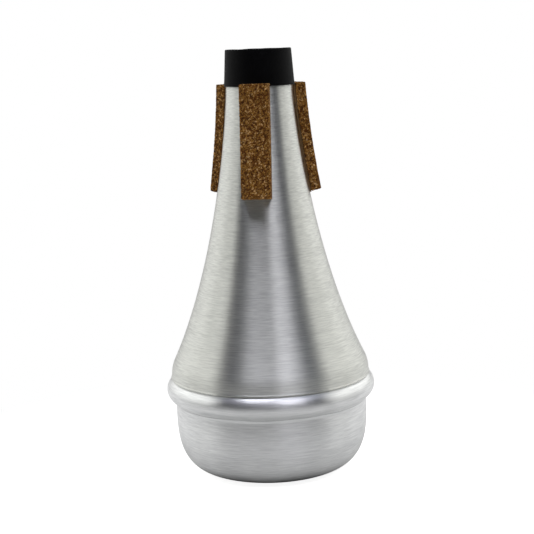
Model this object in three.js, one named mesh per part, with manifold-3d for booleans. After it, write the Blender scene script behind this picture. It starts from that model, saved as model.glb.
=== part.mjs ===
// Trumpet straight mute: a spun cone and a spun bowl locked together in a rolled bead,
// a black sleeve on the neck and three cork strips on the cone.
// Millimetres, +Z up, origin at the centre of the flat base, front cork towards -Y.
import * as THREE from 'three';
import { mergeVertices } from 'three/addons/utils/BufferGeometryUtils.js';
import Module from 'manifold-3d';

const wasm = await Module();
wasm.setup();

// Fineness of the turned pieces: facets round the axis, which three corks share evenly
const facetsRound = 48;
const corkCount = 3;

// Spun sheet
const sheet = 0.8;

// Bowl
const bowlRadius = 36.9;
const baseFlatRadius = 16.2;
const bowlRoundHeight = 24.3;
const bowlRoundPower = 2.9;
const flareStartHeight = 26.6;
const flareBendShare = 0.7;

// Rolled rim of the bowl, seen in section as part of a circle
const beadProjection = 3.25;
const rollRadius = 4.15;
const rollCentreHeight = 34.2;
const rollFootAngle = THREE.MathUtils.degToRad(-50);
const rollEdgeAngle = THREE.MathUtils.degToRad(50);

// Out-turned foot of the cone, held in the roll
const seamGap = 0.15;
const creaseWidth = 0.42;
const flangeSetback = 1.55;
const flangeRound = 0.85;
const dentRound = 0.3;
const hookTipAngle = THREE.MathUtils.degToRad(-42);

// Skirt and shoulder of the cone
const skirtProjection = 1.25;
const skirtLean = 0.25;
const grooveRound = 0.5;
const shoulderHeight = 41.8;
const shoulderRound = 2.6;

// Cone: its neck end is the visible metal just under the sleeve
const neckRadius = 12.7;
const neckSlope = 0.056;
const neckPullShare = 0.27;
const footSlope = 0.48;
const footPullShare = 0.33;

// Sleeve
const totalHeight = 161.8;
const sleeveLength = 13.7;
const sleeveTopRadius = 12.45;
const sleeveWall = 1.1;
const sleeveFootWall = 0.5;
const sleeveLip = 1.2;
const sleeveFit = 0.15;
const sleeveEdgeRound = 0.5;
const swageDrop = 0.3;
const swageLength = 2.2;
const rimGap = 0.2;

// Corks and the adhesive under them
const corkWidth = 11.2;
const corkLength = 42.3;
const corkThickness = 4.1;
const corkLap = 0.9;
const filmGap = 0.1;
const corkClearance = 0.12;
const filmInset = 0.15;

// Overrun of cutting blocks past what they cut
const overrun = 2;

// Places that follow from the sizes above
const beadRadius = bowlRadius + beadProjection;
const rollCentreRadius = beadRadius - rollRadius;
const rimHeight = totalHeight - sleeveLip - rimGap;
const sleeveFootHeight = totalHeight - sleeveLength;
const sleeveFootRadius = neckRadius + sleeveFit + sleeveFootWall;
const corkStandoff = sleeveFit + sleeveFootWall + corkClearance;
const filmThickness = corkStandoff - filmGap - filmGap;

const point = (radius, height) => new THREE.Vector2(radius, height);

// Point on a circle in the section plane
function onCircle(centre, radius, angle) {
  return point(centre.x + radius * Math.cos(angle), centre.y + radius * Math.sin(angle));
}

// Points along a circle in the section plane, both ends included
function arcPoints(centre, radius, startAngle, endAngle, steps) {
  const points = [];
  for (let i = 0; i <= steps; i += 1) {
    points.push(onCircle(centre, radius, THREE.MathUtils.lerp(startAngle, endAngle, i / steps)));
  }
  return points;
}

// Rounded corner: the curve that leaves the first line and joins the second
function cornerPoints(before, corner, after, round, steps) {
  const start = corner.clone().add(before.clone().sub(corner).setLength(round));
  const end = corner.clone().add(after.clone().sub(corner).setLength(round));
  return new THREE.QuadraticBezierCurve(start, corner, end).getPoints(steps);
}

// Unit normals of a section line at its points, to the left of the way that the line runs
function leftNormals(line) {
  return line.map((_, i) => {
    const before = line[Math.max(i - 1, 0)];
    const after = line[Math.min(i + 1, line.length - 1)];
    const here = line[i];
    const into = here.clone().sub(before).normalize();
    const out = after.clone().sub(here).normalize();
    const along = into.add(out).normalize();
    return point(-along.y, along.x);
  });
}

// Distance from a point to a section line
function distanceToLine(from, line) {
  let nearest = Infinity;
  for (let i = 1; i < line.length; i += 1) {
    const start = line[i - 1];
    const along = line[i].clone().sub(start);
    const share = THREE.MathUtils.clamp(from.clone().sub(start).dot(along) / along.lengthSq(), 0, 1);
    nearest = Math.min(nearest, from.distanceTo(start.clone().addScaledVector(along, share)));
  }
  return nearest;
}

// The same line moved to its left, without the points that a tight bend folds over
function offsetLine(line, distance) {
  const keptShare = 0.97;
  const normals = leftNormals(line);
  const moved = line.map((p, i) => p.clone().addScaledVector(normals[i], distance));
  return moved.filter((p) => distanceToLine(p, line) > Math.abs(distance) * keptShare);
}

// Section of a sheet whose outer face is the given line, run from foot to top
function sheetSection(outerLine, thickness) {
  const innerLine = offsetLine(outerLine, thickness).reverse();
  return [...outerLine, ...innerLine];
}

// Solid of revolution about +Z. Angle zero of the section lies towards -Y.
function revolve(section, closed) {
  const points = closed ? [...section, section[0].clone()] : section;
  return new THREE.LatheGeometry(points, facetsRound).rotateX(Math.PI / 2);
}

function toSolid(geometry) {
  const bare = geometry.clone();
  bare.deleteAttribute('normal');
  bare.deleteAttribute('uv');
  const merged = mergeVertices(bare);
  const mesh = new wasm.Mesh({
    numProp: 3,
    vertProperties: new Float32Array(merged.attributes.position.array),
    triVerts: new Uint32Array(merged.index.array),
  });
  return new wasm.Manifold(mesh);
}

function toGeometry(solid) {
  const mesh = solid.getMesh();
  const geometry = new THREE.BufferGeometry();
  geometry.setAttribute('position', new THREE.BufferAttribute(new Float32Array(mesh.vertProperties), 3));
  geometry.setIndex(new THREE.BufferAttribute(new Uint32Array(mesh.triVerts), 1));
  geometry.computeVertexNormals();
  return geometry;
}

// Foot of the roll, where the flared wall of the bowl turns into it
const rollCentre = point(rollCentreRadius, rollCentreHeight);
const rollFoot = onCircle(rollCentre, rollRadius, rollFootAngle);
const rollEdge = onCircle(rollCentre, rollRadius, rollEdgeAngle);

// Outer face of the bowl, from the middle of the base up to the cut edge of the roll
function bowlLine() {
  const round = [];
  const steps = 10;
  for (let i = 0; i <= steps; i += 1) {
    const angle = (i / steps) * (Math.PI / 2);
    const outShare = Math.sin(angle) ** (2 / bowlRoundPower);
    const downShare = Math.cos(angle) ** (2 / bowlRoundPower);
    const radius = THREE.MathUtils.lerp(baseFlatRadius, bowlRadius, outShare);
    round.push(point(radius, bowlRoundHeight - bowlRoundHeight * downShare));
  }
  const flareStart = point(bowlRadius, flareStartHeight);
  const bendHeight = THREE.MathUtils.lerp(flareStartHeight, rollFoot.y, flareBendShare);
  const flare = new THREE.QuadraticBezierCurve(flareStart, point(bowlRadius, bendHeight), rollFoot);
  const roll = arcPoints(rollCentre, rollRadius, rollFootAngle, rollEdgeAngle, 7);
  return [point(0, 0), ...round, ...flare.getPoints(4), ...roll.slice(1)];
}

// Flange of the cone: a rounded shelf that dips under the edge of the roll and hooks round inside it
const flangeWidest = point(beadRadius - flangeSetback, rollEdge.y + creaseWidth);
const flangeCentre = point(flangeWidest.x - flangeRound, flangeWidest.y);
const skirtRadius = bowlRadius + skirtProjection;
const shelfAngle = Math.acos((skirtRadius - flangeCentre.x) / flangeRound);
const grooveCorner = onCircle(flangeCentre, flangeRound, shelfAngle);

function hookLine() {
  const hookRadius = rollRadius - sheet - seamGap;
  const dentAngle = rollEdgeAngle + creaseWidth / hookRadius;
  const dent = onCircle(rollCentre, hookRadius, dentAngle);
  const belowDentAngle = dentAngle - dentRound / hookRadius;
  const belowDent = onCircle(rollCentre, hookRadius, belowDentAngle);
  const hook = arcPoints(rollCentre, hookRadius, hookTipAngle, belowDentAngle, 5);
  const dentCorner = cornerPoints(belowDent, dent, flangeWidest, dentRound, 2);
  return [...hook.slice(0, -1), ...dentCorner];
}

function flangeLine() {
  const hook = hookLine();
  const lastOfHook = hook[hook.length - 1];
  const shelfStartAngle = dentRound / flangeRound;
  const shelfStart = onCircle(flangeCentre, flangeRound, shelfStartAngle);
  const edge = cornerPoints(lastOfHook, flangeWidest, shelfStart, dentRound, 2);
  const shelfEndAngle = shelfAngle - grooveRound / flangeRound;
  const shelf = arcPoints(flangeCentre, flangeRound, shelfStartAngle, shelfEndAngle, 3);
  return [...hook, ...edge, ...shelf.slice(1)];
}

// Cone curve from the shoulder up to the neck, in the section plane
const shoulderCorner = point(skirtRadius - skirtLean, shoulderHeight);
const footDirection = point(-footSlope, 1).normalize();
const neckDirection = point(-neckSlope, 1).normalize();
const neckEnd = point(neckRadius, sleeveFootHeight);
const coneFoot = shoulderCorner.clone().addScaledVector(footDirection, shoulderRound);
const coneRise = neckEnd.y - coneFoot.y;
const coneCurve = new THREE.CubicBezierCurve(
  coneFoot,
  coneFoot.clone().addScaledVector(footDirection, coneRise * footPullShare),
  neckEnd.clone().addScaledVector(neckDirection, -coneRise * neckPullShare),
  neckEnd,
);

// Point and outward normal of the cone's face at a height, run on straight above the neck end
function coneFaceAt(height) {
  if (height >= neckEnd.y) {
    const beyond = (height - neckEnd.y) / neckDirection.y;
    const face = neckEnd.clone().addScaledVector(neckDirection, beyond);
    return { face, normal: point(neckDirection.y, -neckDirection.x) };
  }
  let low = 0;
  let high = 1;
  const halvings = 40;
  for (let i = 0; i < halvings; i += 1) {
    const middle = (low + high) / 2;
    if (coneCurve.getPoint(middle).y < height) low = middle;
    else high = middle;
  }
  const along = coneCurve.getTangent(low);
  return { face: coneCurve.getPoint(low), normal: point(along.y, -along.x) };
}

// Outer radius of the sleeve at a height
function sleeveRadiusAt(height) {
  const share = (height - sleeveFootHeight) / sleeveLength;
  return THREE.MathUtils.lerp(sleeveFootRadius, sleeveTopRadius, share);
}

// Neck of the cone under the sleeve: a swage inwards, then a straight taper up to the rim
function neckLine() {
  const neckInset = sleeveWall + sleeveFit;
  const swageStart = coneFaceAt(sleeveFootHeight + swageDrop).face;
  const swageTop = sleeveFootHeight + swageDrop + swageLength;
  const swageEnd = point(sleeveRadiusAt(swageTop) - neckInset, swageTop);
  const rim = point(sleeveTopRadius - neckInset, rimHeight);
  const pull = swageLength / 2;
  const swage = new THREE.CubicBezierCurve(
    swageStart,
    swageStart.clone().addScaledVector(neckDirection, pull),
    swageEnd.clone().addScaledVector(rim.clone().sub(swageEnd).normalize(), -pull),
    swageEnd,
  );
  return [...swage.getPoints(4), rim];
}

// Outer face of the cone, from the tip of the hook up to the rim of the neck
function coneLine() {
  const flange = flangeLine();
  const shelfEnd = flange[flange.length - 1];
  const groove = cornerPoints(shelfEnd, grooveCorner, shoulderCorner, grooveRound, 2);
  const shoulder = cornerPoints(grooveCorner, shoulderCorner, coneFoot, shoulderRound, 4);
  const cone = coneCurve.getPoints(11);
  return [...flange, ...groove.slice(1), ...shoulder, ...cone.slice(1), ...neckLine()];
}

// Sleeve: feathered foot, wall that follows the neck, and a lip turned in over the rim
function sleeveSection() {
  const neck = neckLine();
  const over = [neckEnd, ...neck];
  const inside = offsetLine(over, -sleeveFit).filter((p) => p.y < rimHeight);
  const boreRadius = sleeveTopRadius - sleeveWall - sleeveFit - sheet;
  const lipFoot = rimHeight + rimGap;
  const footOuter = point(sleeveFootRadius, sleeveFootHeight);
  const topOuter = point(sleeveTopRadius, totalHeight);
  const topInner = point(boreRadius, totalHeight);
  const boreFoot = point(boreRadius, lipFoot);
  const lipSeat = point(sleeveTopRadius - sleeveWall, lipFoot);
  const footInner = point(neckRadius + sleeveFit, sleeveFootHeight);
  const down = inside.filter((p) => p.y > sleeveFootHeight + swageDrop / 2).reverse();
  return [
    footOuter,
    ...cornerPoints(footOuter, topOuter, topInner, sleeveEdgeRound, 3),
    ...cornerPoints(topOuter, topInner, boreFoot, sleeveEdgeRound / 2, 2),
    boreFoot,
    lipSeat,
    ...down,
    footInner,
  ];
}

// Strip that lies on the cone: a ring that follows its face, cut to the strip's width
function stripGeometry(topHeight, bottomHeight, standoff, thickness, width) {
  const steps = 8;
  const outer = [];
  const inner = [];
  for (let i = 0; i <= steps; i += 1) {
    const { face, normal } = coneFaceAt(THREE.MathUtils.lerp(bottomHeight, topHeight, i / steps));
    inner.push(face.clone().addScaledVector(normal, standoff));
    outer.push(face.clone().addScaledVector(normal, standoff + thickness));
  }
  const ring = revolve([...outer, ...inner.reverse()], true);
  const reach = outer[0].x + overrun;
  const height = topHeight - bottomHeight + thickness + thickness + overrun;
  const block = new THREE.BoxGeometry(width, reach, height);
  block.translate(0, -reach / 2, (topHeight + bottomHeight) / 2);
  return toGeometry(toSolid(ring).intersect(toSolid(block)));
}

// Finishes
const spunAluminium = { color: 0xb9bcb6, roughness: 0.32, metalness: 1 };
const blackRubber = { color: 0x0b0b0e, roughness: 0.7, metalness: 0 };
const groundCork = { color: 0x6b4a2a, roughness: 0.9, metalness: 0 };
const amberAdhesive = { color: 0x8a6a3c, roughness: 0.6, metalness: 0 };

function piece(name, geometry, finish) {
  const mesh = new THREE.Mesh(geometry, new THREE.MeshStandardMaterial(finish));
  mesh.name = name;
  return mesh;
}

const mute = new THREE.Group();
mute.add(piece('cone_shell', revolve(sheetSection(coneLine(), sheet), true), spunAluminium));
mute.add(piece('bottom_bowl', revolve(sheetSection(bowlLine(), sheet), false), spunAluminium));
mute.add(piece('neck_sleeve', revolve(sleeveSection(), true), blackRubber));

// Corks at even thirds, the first at the front, each with its adhesive film in one turned group
const corkTop = sleeveFootHeight + corkLap;
const corkBottom = corkTop - corkLength;
const filmTop = sleeveFootHeight - rimGap;
const corkNames = ['front', 'right', 'left'];
corkNames.slice(0, corkCount).forEach((side, i) => {
  const station = new THREE.Group();
  station.rotation.z = (i / corkCount) * Math.PI * 2;
  const cork = stripGeometry(corkTop, corkBottom, corkStandoff, corkThickness, corkWidth);
  const filmWidth = corkWidth - filmInset - filmInset;
  const film = stripGeometry(filmTop, corkBottom + filmInset, filmGap, filmThickness, filmWidth);
  station.add(piece(`cork_${side}`, cork, groundCork));
  station.add(piece(`cork_film_${side}`, film, amberAdhesive));
  mute.add(station);
});

export default mute;
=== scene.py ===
"""A trumpet straight mute: spun aluminium cone and bowl, black neck sleeve and cork strips.

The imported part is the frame. The turned pieces and the corks are made again here with the
fineness that the eye expects, in the places and sizes that the frame gives.
"""
from __future__ import annotations

import logging
import math
from dataclasses import dataclass, field
from enum import Enum
from typing import Any, Callable, Sequence

import bpy
import numpy as np
from mathutils import Matrix, Vector, noise

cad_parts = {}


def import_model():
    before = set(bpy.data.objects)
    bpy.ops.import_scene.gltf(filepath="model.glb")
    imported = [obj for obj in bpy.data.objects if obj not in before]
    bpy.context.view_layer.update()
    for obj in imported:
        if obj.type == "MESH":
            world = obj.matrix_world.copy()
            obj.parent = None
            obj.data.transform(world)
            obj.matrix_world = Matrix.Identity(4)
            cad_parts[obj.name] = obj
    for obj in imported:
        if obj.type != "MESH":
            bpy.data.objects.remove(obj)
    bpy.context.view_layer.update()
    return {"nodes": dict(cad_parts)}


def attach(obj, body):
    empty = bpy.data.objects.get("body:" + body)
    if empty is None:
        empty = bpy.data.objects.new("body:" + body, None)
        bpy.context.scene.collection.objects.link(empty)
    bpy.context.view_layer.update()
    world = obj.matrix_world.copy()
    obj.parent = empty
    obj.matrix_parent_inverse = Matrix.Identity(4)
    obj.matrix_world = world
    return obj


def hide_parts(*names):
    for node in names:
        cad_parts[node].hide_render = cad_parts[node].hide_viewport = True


LOG = logging.getLogger("mute")
MM = 0.001
BODY = "root"

# Blender takes the clock as the seed of its vector noise, unless it is given one.
NOISE_SEED = 7

# Edges that turn by more than this stay sharp in the shading.
SHARP_DEGREES = 38

# Point attributes that carry a measure from the mesh to its material.
ALONG = "along_mm"
GRAIN = "granule"
CREVICE = "crevice"
GLOW = "glow"

# A section line is an array of radius and height pairs in mm.
Section = np.ndarray
Shaper = Callable[[np.ndarray, np.ndarray, np.ndarray], tuple[np.ndarray, np.ndarray]]
Stops = tuple[tuple[float, float], ...]


class Slot(Enum):
    """Material slots of the record."""

    METAL = "spun_aluminium"
    SLEEVE = "neck_black"
    CORK = "cork"
    FILM = "adhesive"


def linear(hex_colour: str) -> tuple[float, float, float, float]:
    """Turn an sRGB hex colour to linear RGBA.

    Args:
        hex_colour: colour as "#RRGGBB".

    Returns:
        The four linear channels, opaque.
    """
    values = [int(hex_colour[i:i + 2], 16) / 255 for i in (1, 3, 5)]
    red, green, blue = (v / 12.92 if v <= 0.04045 else ((v + 0.055) / 1.055) ** 2.4 for v in values)
    return (red, green, blue, 1.0)


def gray(level: float) -> tuple[float, float, float, float]:
    """Linear RGBA of a neutral tone."""
    return (level, level, level, 1.0)


def add_node(
    tree: bpy.types.NodeTree,
    kind: str,
    settings: dict[Any, Any] | None = None,
    links: dict[Any, bpy.types.NodeSocket] | None = None,
) -> bpy.types.Node:
    """Add a node with its settings and the links into it.

    Args:
        tree: node tree that gets the node.
        kind: Blender's name for the node type.
        settings: values by property name, by input name, or by input number.
        links: output sockets by the input name or number that they feed.

    Returns:
        The new node.
    """
    node = tree.nodes.new(kind)
    for key, value in (settings or {}).items():
        if isinstance(key, int) or key in node.inputs:
            node.inputs[key].default_value = value
        else:
            setattr(node, key, value)
    for key, socket in (links or {}).items():
        tree.links.new(socket, node.inputs[key])
    return node


def new_material(name: str) -> tuple[bpy.types.Material, bpy.types.NodeTree]:
    """Make a node material with nothing in it but its output.

    Args:
        name: name of the material.

    Returns:
        The material and its node tree.
    """
    material = bpy.data.materials.new(name)
    material.use_nodes = True
    tree = material.node_tree
    tree.nodes.clear()
    return material, tree


def add_ramp(
    tree: bpy.types.NodeTree,
    stops: Sequence[tuple[float, tuple[float, float, float, float]]],
    source: bpy.types.NodeSocket,
) -> bpy.types.NodeSocket:
    """Add a colour ramp.

    Args:
        tree: node tree that gets the node.
        stops: positions from 0 to 1, in rising order, with their colours.
        source: value that the ramp reads.

    Returns:
        The ramp's colour.
    """
    ramp = add_node(tree, "ShaderNodeValToRGB", None, {0: source})
    elements = ramp.color_ramp.elements
    for i, (position, colour) in enumerate(stops):
        stop = elements[i] if i < 2 else elements.new(position)
        stop.position, stop.color = position, colour
    return ramp.outputs[0]


def arc(centre: tuple[float, float], radius: float, start: float, end: float, steps: int) -> Section:
    """Points on a circle in the section plane.

    Args:
        centre: radius and height of the circle's centre in mm.
        radius: radius of the circle in mm.
        start: first angle in degrees, from the outward direction.
        end: last angle in degrees.
        steps: number of steps between the two.

    Returns:
        An array of radius and height pairs.
    """
    angles = np.radians(np.linspace(start, end, steps + 1))
    return np.column_stack([centre[0] + radius * np.cos(angles), centre[1] + radius * np.sin(angles)])


def bezier(points: list[np.ndarray], steps: int) -> Section:
    """Points on a quadratic or cubic curve in the section plane.

    Args:
        points: three or four control points.
        steps: number of steps along the curve.

    Returns:
        An array of radius and height pairs.
    """
    share = np.linspace(0, 1, steps + 1)[:, None]
    order = len(points) - 1
    total = np.zeros((steps + 1, 2))
    for i, control in enumerate(points):
        total += math.comb(order, i) * (1 - share) ** (order - i) * share ** i * np.asarray(control)
    return total


def rounded(before: np.ndarray, corner: np.ndarray, after: np.ndarray, size: float, steps: int) -> Section:
    """Round a corner of a section line.

    Args:
        before: a point on the line that comes in.
        corner: the sharp corner.
        after: a point on the line that goes out.
        size: distance from the corner at which the curve starts and ends, in mm.
        steps: number of steps round the corner.

    Returns:
        The points of the curve.
    """
    into = (before - corner) / np.linalg.norm(before - corner)
    out = (after - corner) / np.linalg.norm(after - corner)
    return bezier([corner + into * size, corner, corner + out * size], steps)


def left_normals(line: Section) -> np.ndarray:
    """Unit normals of a section line, to the left of the way that it runs.

    Args:
        line: the section line.

    Returns:
        One normal for each point.
    """
    step = np.diff(line, axis=0)
    step /= np.linalg.norm(step, axis=1)[:, None]
    along = np.vstack([step[:1], step[:-1] + step[1:], step[-1:]])
    along /= np.linalg.norm(along, axis=1)[:, None]
    return np.column_stack([-along[:, 1], along[:, 0]])


def offset(line: Section, distance: float) -> Section:
    """Move a section line to its left and drop what a tight bend folds over.

    Args:
        line: the section line.
        distance: how far to move it in mm; less than zero moves it to the right.

    Returns:
        The moved line.
    """
    moved = line + left_normals(line) * distance
    start, step = line[:-1], np.diff(line, axis=0)
    away = moved[:, None, :] - start[None, :, :]
    share = np.clip((away * step).sum(2) / (step ** 2).sum(1), 0, 1)
    gap = np.linalg.norm(away - share[:, :, None] * step, axis=2).min(axis=1)
    folded = 0.985  # a moved point nearer to the line than this share has folded over
    return moved[gap > abs(distance) * folded]


def without_repeats(line: Section) -> Section:
    """Drop points of a section line that lie on the point before them."""
    keep = np.r_[True, np.linalg.norm(np.diff(line, axis=0), axis=1) > 1e-4]
    return line[keep]


def spin(
    name: str, section: Section, around: int, closed: bool, shaper: Shaper | None = None
) -> bpy.types.Object:
    """Turn a section about +Z into a smooth mesh object.

    Args:
        name: name of the object.
        section: radius and height pairs in mm, going up the outside and down the inside.
        around: number of steps round the axis.
        closed: True where the section closes on itself, False where both ends lie on the axis.
        shaper: takes the radii, heights and angles and returns changed radii and heights.

    Returns:
        The object, with the distance along the section kept as an attribute in mm.
    """
    section = without_repeats(section)
    ring = section if closed else section[1:-1]
    count = len(ring)
    angle = np.linspace(0, 2 * math.pi, around, endpoint=False)
    radius = np.repeat(ring[None, :, 0], around, axis=0)
    height = np.repeat(ring[None, :, 1], around, axis=0)
    if shaper:
        radius, height = shaper(radius, height, np.repeat(angle[:, None], count, axis=1))
    east, south = radius * np.sin(angle)[:, None], -radius * np.cos(angle)[:, None]
    points = np.stack([east, south, height], axis=2).reshape(-1, 3)
    along = np.r_[0, np.cumsum(np.linalg.norm(np.diff(section, axis=0), axis=1))]
    inner = slice(None) if closed else slice(1, -1)
    reach = np.tile(along[inner], around)
    faces: list[tuple[int, ...]] = []
    last = count if closed else count - 1
    for i in range(around):
        here, there = i * count, (i + 1) % around * count
        for j in range(last):
            k = (j + 1) % count
            faces.append((here + j, there + j, there + k, here + k))
    if not closed:
        low, top = len(points), len(points) + 1
        points = np.vstack([points, [0, 0, section[0, 1]], [0, 0, section[-1, 1]]])
        reach = np.r_[reach, along[0], along[-1]]
        for i in range(around):
            here, there = i * count, (i + 1) % around * count
            faces.append((low, there, here))
            faces.append((top, here + count - 1, there + count - 1))
    return mesh_object(name, points, faces, {ALONG: reach})


def mesh_object(
    name: str, points_mm: np.ndarray, faces: list[tuple[int, ...]], fields: dict[str, np.ndarray]
) -> bpy.types.Object:
    """Make a mesh object from points in mm.

    Args:
        name: name of the object and its mesh.
        points_mm: the points in mm, in the row frame.
        faces: vertex numbers of each face, facing out.
        fields: point attributes by name.

    Returns:
        The object, linked to the scene and shaded smooth with its sharp edges kept.
    """
    mesh = bpy.data.meshes.new(name)
    mesh.from_pydata((points_mm * MM).tolist(), [], faces)
    for key, values in fields.items():
        attribute = mesh.attributes.new(key, "FLOAT", "POINT")
        attribute.data.foreach_set("value", np.asarray(values, dtype=np.float32))
    mesh.validate()
    mesh.polygons.foreach_set("use_smooth", [True] * len(mesh.polygons))
    mesh.set_sharp_from_angle(angle=math.radians(SHARP_DEGREES))
    obj = bpy.data.objects.new(name, mesh)
    bpy.context.scene.collection.objects.link(obj)
    return obj


def ring_noise(angle: np.ndarray, seed: float, waves: float) -> np.ndarray:
    """Smooth noise from -1 to 1 that closes on itself round the axis.

    Args:
        angle: angles in radians.
        seed: shifts the pattern.
        waves: how fast it changes round the axis.

    Returns:
        One value for each angle.
    """
    flat = np.unique(angle)
    found = [noise.noise(Vector((math.cos(a) * waves, math.sin(a) * waves, seed))) for a in flat]
    full_reach = 1.6  # the noise itself stays within about 0.6
    return np.interp(angle, flat, found) * full_reach


@dataclass(frozen=True)
class MuteSizes:
    """Sizes of the mute in millimetres and degrees.

    They are the part's own, but for the bead: its roll is drawn fuller, by 0.55 mm of radius,
    and 1.4 mm lower, with a tighter crease, dent and groove over it, as the light on the
    photographed bead shows. The width over the bead is the part's.
    """

    sheet: float = 0.8
    bowl_radius: float = 36.9
    base_flat_radius: float = 16.2
    bowl_round_height: float = 24.3
    bowl_round_power: float = 2.9
    flare_start_height: float = 26.6
    flare_bend_share: float = 0.6
    bead_projection: float = 3.25
    roll_radius: float = 4.7
    roll_centre_height: float = 32.8
    roll_foot_angle: float = -50.0
    roll_edge_angle: float = 60.0
    seam_gap: float = 0.15
    crease_width: float = 0.38
    flange_setback: float = 1.75
    flange_round: float = 0.85
    dent_round: float = 0.15
    hook_tip_angle: float = -42.0
    skirt_projection: float = 1.25
    skirt_lean: float = 0.25
    groove_round: float = 0.12
    shoulder_height: float = 41.8
    shoulder_round: float = 2.6
    neck_radius: float = 12.7
    neck_slope: float = 0.056
    neck_pull_share: float = 0.27
    foot_slope: float = 0.48
    foot_pull_share: float = 0.33
    total_height: float = 161.8
    sleeve_length: float = 13.7
    sleeve_top_radius: float = 12.45
    sleeve_wall: float = 1.1
    sleeve_foot_wall: float = 0.5
    sleeve_lip: float = 1.2
    sleeve_fit: float = 0.15
    sleeve_edge_round: float = 0.5
    swage_drop: float = 0.3
    swage_length: float = 2.2
    rim_gap: float = 0.2
    cork_width: float = 11.2
    cork_length: float = 42.3
    cork_thickness: float = 4.1
    cork_lap: float = 0.9
    cork_clearance: float = 0.12
    tool_rings: tuple[float, ...] = (52.6, 57.4, 64.0, 71.5, 84.8, 85.9, 99.0)
    score_height: float = 28.1

    @property
    def bead_radius(self) -> float:
        """Radius of the bead's widest line."""
        return self.bowl_radius + self.bead_projection

    @property
    def roll_centre(self) -> tuple[float, float]:
        """Centre of the rolled rim in the section plane."""
        return (self.bead_radius - self.roll_radius, self.roll_centre_height)

    @property
    def sleeve_foot_height(self) -> float:
        """Height of the sleeve's lower edge."""
        return self.total_height - self.sleeve_length

    @property
    def sleeve_foot_radius(self) -> float:
        """Outer radius of the sleeve's lower edge."""
        return self.neck_radius + self.sleeve_fit + self.sleeve_foot_wall

    @property
    def cork_standoff(self) -> float:
        """Distance from the cone to the inner face of a cork."""
        return self.sleeve_fit + self.sleeve_foot_wall + self.cork_clearance

    def on_roll(self, radius: float, angle: float) -> np.ndarray:
        """Point about the roll's centre, for a radius in mm and an angle in degrees."""
        return arc(self.roll_centre, radius, angle, angle, 1)[0]


@dataclass
class ConeCurve:
    """The outer face of the cone in section, from its shoulder to the neck."""

    sizes: MuteSizes
    foot: np.ndarray = field(init=False)
    controls: list[np.ndarray] = field(init=False)
    neck_way: np.ndarray = field(init=False)
    shoulder: np.ndarray = field(init=False)

    def __post_init__(self) -> None:
        """Work out the curve's control points from the sizes."""
        s = self.sizes
        self.shoulder = np.array([s.bowl_radius + s.skirt_projection - s.skirt_lean, s.shoulder_height])
        foot_way = np.array([-s.foot_slope, 1.0])
        foot_way /= np.linalg.norm(foot_way)
        self.neck_way = np.array([-s.neck_slope, 1.0]) / math.hypot(s.neck_slope, 1.0)
        neck = np.array([s.neck_radius, s.sleeve_foot_height])
        self.foot = self.shoulder + foot_way * s.shoulder_round
        rise = neck[1] - self.foot[1]
        self.controls = [
            self.foot,
            self.foot + foot_way * rise * s.foot_pull_share,
            neck - self.neck_way * rise * s.neck_pull_share,
            neck,
        ]

    def points(self, steps: int) -> Section:
        """Points of the curve from the shoulder up."""
        return bezier(self.controls, steps)

    def face(self, heights: np.ndarray) -> tuple[np.ndarray, np.ndarray]:
        """Face points and outward normals at given heights.

        Args:
            heights: heights in mm; above the neck the face runs on straight.

        Returns:
            The points and the unit normals, one row for each height.
        """
        line = self.points(400)
        beyond = self.controls[-1] + self.neck_way * np.linspace(0.5, 6, 12)[:, None]
        line = np.vstack([line, beyond])
        normals = -left_normals(line)
        points = np.column_stack([np.interp(heights, line[:, 1], line[:, 0]), heights])
        normal = np.column_stack([np.interp(heights, line[:, 1], normals[:, i]) for i in (0, 1)])
        return points, normal / np.linalg.norm(normal, axis=1)[:, None]


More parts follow.
